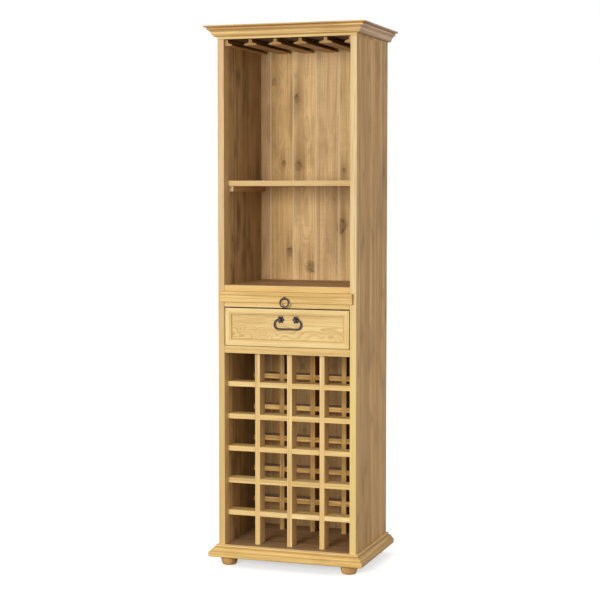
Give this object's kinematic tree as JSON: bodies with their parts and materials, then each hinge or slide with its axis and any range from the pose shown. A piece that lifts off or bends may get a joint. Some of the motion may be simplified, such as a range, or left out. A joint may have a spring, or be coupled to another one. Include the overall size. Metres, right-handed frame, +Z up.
{
  "type": "wine and bar display cabinet",
  "caption": "Tall free-standing pine cabinet for wine: hanging glass rack, open shelf, pull-out serving board, drawer with bail pull and a lattice for lying bottles.",
  "frame": {"origin": "on the floor under the middle of the cabinet's outer box", "axes": "+Z up, the open front faces -Y, +X to the right seen from the front"},
  "size_m": [0.554, 0.4066, 1.8],
  "materials": {
    "left_side_panel": "waxed pine with grain and knots",
    "right_side_panel": "waxed pine with grain and knots",
    "top_panel": "waxed pine with grain and knots",
    "upper_floor": "waxed pine with grain and knots",
    "serving_board_deck": "waxed pine with grain and knots",
    "drawer_deck": "waxed pine with grain and knots",
    "bottom_panel": "waxed pine with grain and knots",
    "back_board_1": "waxed pine with grain and knots",
    "back_board_2": "waxed pine with grain and knots",
    "back_board_3": "waxed pine with grain and knots",
    "back_board_4": "waxed pine with grain and knots",
    "back_board_5": "waxed pine with grain and knots",
    "back_board_6": "waxed pine with grain and knots",
    "shelf": "waxed pine with grain and knots",
    "left_shelf_cleat": "waxed pine with grain and knots",
    "right_shelf_cleat": "waxed pine with grain and knots",
    "glass_rail_1": "waxed pine with grain and knots",
    "glass_rail_2": "waxed pine with grain and knots",
    "glass_rail_3": "waxed pine with grain and knots",
    "glass_rail_4": "waxed pine with grain and knots",
    "left_half_rail": "waxed pine with grain and knots",
    "right_half_rail": "waxed pine with grain and knots",
    "crown_front": "waxed pine with grain and knots",
    "crown_left": "waxed pine with grain and knots",
    "crown_right": "waxed pine with grain and knots",
    "base_front": "waxed pine with grain and knots",
    "base_left": "waxed pine with grain and knots",
    "base_right": "waxed pine with grain and knots",
    "front_left_foot": "waxed pine with grain and knots",
    "front_right_foot": "waxed pine with grain and knots",
    "rear_left_foot": "waxed pine with grain and knots",
    "rear_right_foot": "waxed pine with grain and knots",
    "front_lattice_upright_1": "waxed pine with grain and knots",
    "front_lattice_upright_2": "waxed pine with grain and knots",
    "front_lattice_upright_3": "waxed pine with grain and knots",
    "front_lattice_cross_slat_1": "waxed pine with grain and knots",
    "front_lattice_cross_slat_2": "waxed pine with grain and knots",
    "front_lattice_cross_slat_3": "waxed pine with grain and knots",
    "front_lattice_cross_slat_4": "waxed pine with grain and knots",
    "front_lattice_cross_slat_5": "waxed pine with grain and knots",
    "rear_lattice_upright_1": "waxed pine with grain and knots",
    "rear_lattice_upright_2": "waxed pine with grain and knots",
    "rear_lattice_upright_3": "waxed pine with grain and knots",
    "rear_lattice_cross_slat_1": "waxed pine with grain and knots",
    "rear_lattice_cross_slat_2": "waxed pine with grain and knots",
    "rear_lattice_cross_slat_3": "waxed pine with grain and knots",
    "rear_lattice_cross_slat_4": "waxed pine with grain and knots",
    "rear_lattice_cross_slat_5": "waxed pine with grain and knots",
    "serving_board": "waxed pine with grain and knots",
    "serving_board_strip": "waxed pine with grain and knots",
    "ring_eye": "dark forged iron, slightly worn",
    "ring": "dark forged iron, slightly worn",
    "drawer_front": "waxed pine with grain and knots",
    "drawer_left_side": "waxed pine with grain and knots",
    "drawer_right_side": "waxed pine with grain and knots",
    "drawer_back": "waxed pine with grain and knots",
    "drawer_floor": "waxed pine with grain and knots",
    "left_rosette": "dark forged iron, slightly worn",
    "right_rosette": "dark forged iron, slightly worn",
    "bail": "dark forged iron, slightly worn"
  },
  "bodies": {
    "cabinet": {"left_side_panel": "left_side_panel", "right_side_panel": "right_side_panel", "top_panel": "top_panel", "upper_floor": "upper_floor", "serving_board_deck": "serving_board_deck", "drawer_deck": "drawer_deck", "bottom_panel": "bottom_panel", "back_board_1": "back_board_1", "back_board_2": "back_board_2", "back_board_3": "back_board_3", "back_board_4": "back_board_4", "back_board_5": "back_board_5", "back_board_6": "back_board_6", "shelf": "shelf", "left_shelf_cleat": "left_shelf_cleat", "right_shelf_cleat": "right_shelf_cleat", "glass_rail_1": "glass_rail_1", "glass_rail_2": "glass_rail_2", "glass_rail_3": "glass_rail_3", "glass_rail_4": "glass_rail_4", "left_half_rail": "left_half_rail", "right_half_rail": "right_half_rail", "crown_front": "crown_front", "crown_left": "crown_left", "crown_right": "crown_right", "base_front": "base_front", "base_left": "base_left", "base_right": "base_right", "front_left_foot": "front_left_foot", "front_right_foot": "front_right_foot", "rear_left_foot": "rear_left_foot", "rear_right_foot": "rear_right_foot", "front_lattice_upright_1": "front_lattice_upright_1", "front_lattice_upright_2": "front_lattice_upright_2", "front_lattice_upright_3": "front_lattice_upright_3", "front_lattice_cross_slat_1": "front_lattice_cross_slat_1", "front_lattice_cross_slat_2": "front_lattice_cross_slat_2", "front_lattice_cross_slat_3": "front_lattice_cross_slat_3", "front_lattice_cross_slat_4": "front_lattice_cross_slat_4", "front_lattice_cross_slat_5": "front_lattice_cross_slat_5", "rear_lattice_upright_1": "rear_lattice_upright_1", "rear_lattice_upright_2": "rear_lattice_upright_2", "rear_lattice_upright_3": "rear_lattice_upright_3", "rear_lattice_cross_slat_1": "rear_lattice_cross_slat_1", "rear_lattice_cross_slat_2": "rear_lattice_cross_slat_2", "rear_lattice_cross_slat_3": "rear_lattice_cross_slat_3", "rear_lattice_cross_slat_4": "rear_lattice_cross_slat_4", "rear_lattice_cross_slat_5": "rear_lattice_cross_slat_5"},
    "serving_board": {"serving_board": "serving_board", "serving_board_strip": "serving_board_strip", "ring_eye": "ring_eye"},
    "ring": {"ring": "ring"},
    "drawer": {"drawer_front": "drawer_front", "drawer_left_side": "drawer_left_side", "drawer_right_side": "drawer_right_side", "drawer_back": "drawer_back", "drawer_floor": "drawer_floor", "left_rosette": "left_rosette", "right_rosette": "right_rosette"},
    "bail": {"bail": "bail"}
  },
  "joints": [
    {"name": "drawer_slide", "type": "slide", "parent": "cabinet", "child": "drawer", "axis": [0, -1, 0], "range_m": [0, 0.25]},
    {"name": "serving_board_slide", "type": "slide", "parent": "cabinet", "child": "serving_board", "axis": [0, -1, 0], "range_m": [0, 0.25]},
    {"name": "bail_swing", "type": "hinge", "parent": "drawer", "child": "bail", "pos_m": [0.005, -0.16755, 0.8338], "axis": [-1, 0, 0], "range_deg": [0, 90]},
    {"name": "ring_swing", "type": "hinge", "parent": "serving_board", "child": "ring", "pos_m": [0, -0.18725, 0.90625], "axis": [-1, 0, 0], "range_deg": [0, 90]}
  ]
}
